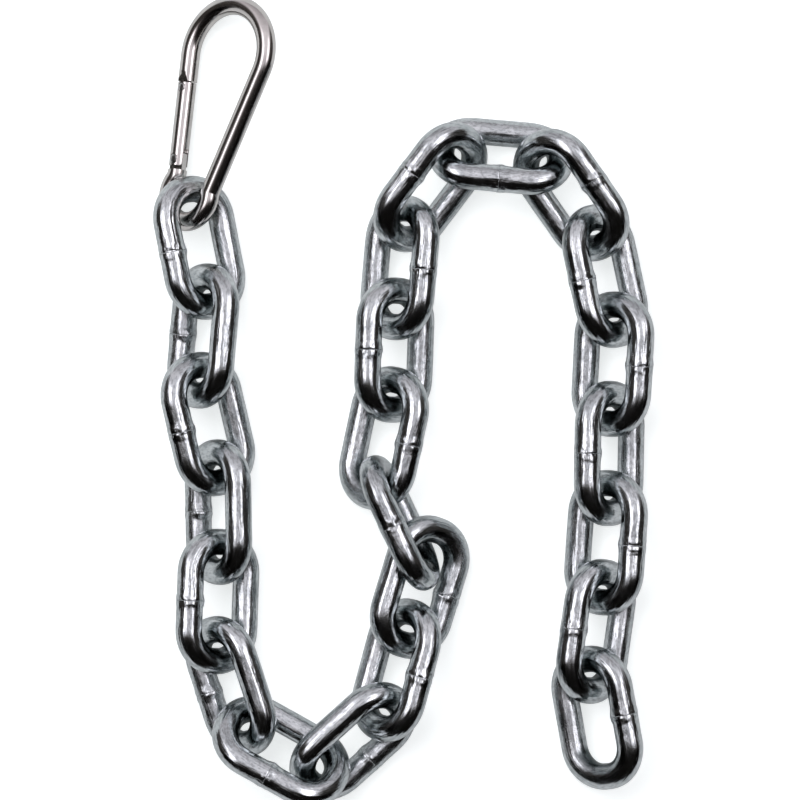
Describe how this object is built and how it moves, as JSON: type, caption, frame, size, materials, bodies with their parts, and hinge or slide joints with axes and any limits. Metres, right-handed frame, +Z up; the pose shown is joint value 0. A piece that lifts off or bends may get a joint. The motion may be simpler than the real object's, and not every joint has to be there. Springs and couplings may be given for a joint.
{
  "type": "short-link chain with snap hook",
  "caption": "Zinc-plated short-link welded steel chain lying in a loose S, with a pear-shaped spring snap hook on its first link.",
  "frame": {"origin": "on the surface that the chain lies on, under the middle of the whole heap", "axes": "+Z up, +Y the long way of the heap towards the snap hook, +X to the free end's side"},
  "size_m": [0.1508, 0.2444, 0.0294],
  "materials": {
    "chain_zinc": "bright zinc plating, softly mottled",
    "hook_steel": "bright nickel-like plating over drawn wire",
    "pin_steel": "plated steel, peened heads",
    "spring_steel": "bright spring wire"
  },
  "bodies": {
    "hook": {"hook_body": "hook_steel"},
    "gate": {"hook_gate": "hook_steel", "gate_pivot_pin": "pin_steel", "gate_latch_pin": "pin_steel", "gate_spring": "spring_steel"},
    "plunger": {"gate_plunger": "pin_steel"},
    "link_01": {"link_01": "chain_zinc"},
    "link_02": {"link_02": "chain_zinc"},
    "link_03": {"link_03": "chain_zinc"},
    "link_04": {"link_04": "chain_zinc"},
    "link_05": {"link_05": "chain_zinc"},
    "link_06": {"link_06": "chain_zinc"},
    "link_07": {"link_07": "chain_zinc"},
    "link_08": {"link_08": "chain_zinc"},
    "link_09": {"link_09": "chain_zinc"},
    "link_10": {"link_10": "chain_zinc"},
    "link_11": {"link_11": "chain_zinc"},
    "link_12": {"link_12": "chain_zinc"},
    "link_13": {"link_13": "chain_zinc"},
    "link_14": {"link_14": "chain_zinc"},
    "link_15": {"link_15": "chain_zinc"},
    "link_16": {"link_16": "chain_zinc"},
    "link_17": {"link_17": "chain_zinc"},
    "link_18": {"link_18": "chain_zinc"},
    "link_19": {"link_19": "chain_zinc"},
    "link_20": {"link_20": "chain_zinc"},
    "link_21": {"link_21": "chain_zinc"},
    "link_22": {"link_22": "chain_zinc"},
    "link_23": {"link_23": "chain_zinc"}
  },
  "joints": [
    {"name": "gate_hinge", "type": "hinge", "parent": "hook", "child": "gate", "pos_m": [-0.0683, 0.07286, 0.00563], "axis": [0.6061, -0.1211, -0.7861], "range_deg": [0, 42], "stiffness_Nm_per_rad": 0.03, "springref_deg": -28.65},
    {"name": "plunger_slide", "type": "slide", "parent": "gate", "child": "plunger", "axis": [0.1077, 0.9917, -0.0698], "range_m": [0, 0.0008], "deforming": ["gate_spring"]},
    {"name": "link_01_swing", "type": "hinge", "parent": "hook", "child": "link_01", "pos_m": [-0.06514, 0.06362, 0.01108], "axis": [-0.7527, -0.1427, 0.6428], "range_deg": [-45, 20]},
    {"name": "link_02_swing", "type": "hinge", "parent": "link_01", "child": "link_02", "pos_m": [-0.05828, 0.02828, 0.01129], "axis": [-0.7527, -0.1427, 0.6428], "range_deg": [-60, 60]},
    {"name": "link_03_swing", "type": "hinge", "parent": "link_02", "child": "link_03", "pos_m": [-0.06212, 0.00131, 0.01248], "axis": [0.6269, -0.0548, 0.7771], "range_deg": [-60, 60]},
    {"name": "link_04_swing", "type": "hinge", "parent": "link_03", "child": "link_04", "pos_m": [-0.05495, -0.02486, 0.0117], "axis": [-0.7488, -0.2113, 0.6282], "range_deg": [-60, 60]},
    {"name": "link_05_swing", "type": "hinge", "parent": "link_04", "child": "link_05", "pos_m": [-0.05562, -0.05199, 0.0126], "axis": [-0.6156, -0.0107, -0.788], "range_deg": [-60, 60]},
    {"name": "link_06_swing", "type": "hinge", "parent": "link_05", "child": "link_06", "pos_m": [-0.05674, -0.07895, 0.01364], "axis": [0.7759, -0.0493, -0.6289], "range_deg": [-48, 60]},
    {"name": "link_07_swing", "type": "hinge", "parent": "link_06", "child": "link_07", "pos_m": [-0.04672, -0.10392, 0.01188], "axis": [0.6607, 0.2147, 0.7193], "range_deg": [-60, 24]},
    {"name": "link_08_swing", "type": "hinge", "parent": "link_07", "child": "link_08", "pos_m": [-0.02108, -0.11467, 0.01631], "axis": [0.3776, 0.6404, -0.6688], "range_deg": [-6, 38]},
    {"name": "link_09_swing", "type": "hinge", "parent": "link_08", "child": "link_09", "pos_m": [-0.00189, -0.09134, 0.01149], "axis": [0.4894, -0.5435, -0.682], "range_deg": [-26, 60]},
    {"name": "link_10_swing", "type": "hinge", "parent": "link_09", "child": "link_10", "pos_m": [0.00247, -0.06432, 0.01201], "axis": [0.6697, -0.1358, 0.7301], "range_deg": [-60, 52]},
    {"name": "link_11_swing", "type": "hinge", "parent": "link_10", "child": "link_11", "pos_m": [0.01018, -0.03955, 0.01006], "axis": [-0.7925, 0.2762, 0.5437], "range_deg": [0, 30]},
    {"name": "link_12_swing", "type": "hinge", "parent": "link_11", "child": "link_12", "pos_m": [-0.00873, -0.02083, 0.01462], "axis": [0.1935, 0.077, -0.9781], "range_deg": [0, 28]},
    {"name": "link_13_swing", "type": "hinge", "parent": "link_12", "child": "link_13", "pos_m": [-0.00225, 0.00587, 0.01212], "axis": [-0.7348, 0.1729, -0.6559], "range_deg": [-60, 60]},
    {"name": "link_14_swing", "type": "hinge", "parent": "link_13", "child": "link_14", "pos_m": [-0.00209, 0.03295, 0.01218], "axis": [-0.7549, 0.0088, 0.6558], "range_deg": [-60, 60]},
    {"name": "link_15_swing", "type": "hinge", "parent": "link_14", "child": "link_15", "pos_m": [0.00041, 0.05784, 0.01188], "axis": [0.692, -0.0605, 0.7193], "range_deg": [-52, 56]},
    {"name": "link_16_swing", "type": "hinge", "parent": "link_15", "child": "link_16", "pos_m": [0.01901, 0.0784, 0.01551], "axis": [-0.5517, 0.3798, 0.7426], "range_deg": [-28, 36]},
    {"name": "link_17_swing", "type": "hinge", "parent": "link_16", "child": "link_17", "pos_m": [0.04731, 0.07215, 0.01175], "axis": [0.0616, 0.7044, -0.7071], "range_deg": [-54, 14]},
    {"name": "link_18_swing", "type": "hinge", "parent": "link_17", "child": "link_18", "pos_m": [0.06086, 0.04694, 0.01348], "axis": [-0.6196, -0.3902, -0.6811], "range_deg": [-60, 46]},
    {"name": "link_19_swing", "type": "hinge", "parent": "link_18", "child": "link_19", "pos_m": [0.0648, 0.01979, 0.01162], "axis": [-0.7036, -0.1496, 0.6947], "range_deg": [-60, 60]},
    {"name": "link_20_swing", "type": "hinge", "parent": "link_19", "child": "link_20", "pos_m": [0.06226, -0.00726, 0.01197], "axis": [0.7413, -0.0556, 0.6689], "range_deg": [-60, 60]},
    {"name": "link_21_swing", "type": "hinge", "parent": "link_20", "child": "link_21", "pos_m": [0.06196, -0.03426, 0.01213], "axis": [-0.669, 0.0117, 0.7431], "range_deg": [-60, 60]},
    {"name": "link_22_swing", "type": "hinge", "parent": "link_21", "child": "link_22", "pos_m": [0.05987, -0.06119, 0.01221], "axis": [-0.7411, 0.0548, -0.6691], "range_deg": [-60, 60]},
    {"name": "link_23_swing", "type": "hinge", "parent": "link_22", "child": "link_23", "pos_m": [0.05578, -0.08788, 0.01253], "axis": [-0.6861, 0.1096, 0.7192], "range_deg": [-60, 54]}
  ],
  "couplings": [
    {"joint": "plunger_slide", "follows": "gate_hinge", "m_per_rad": 0.001}
  ]
}
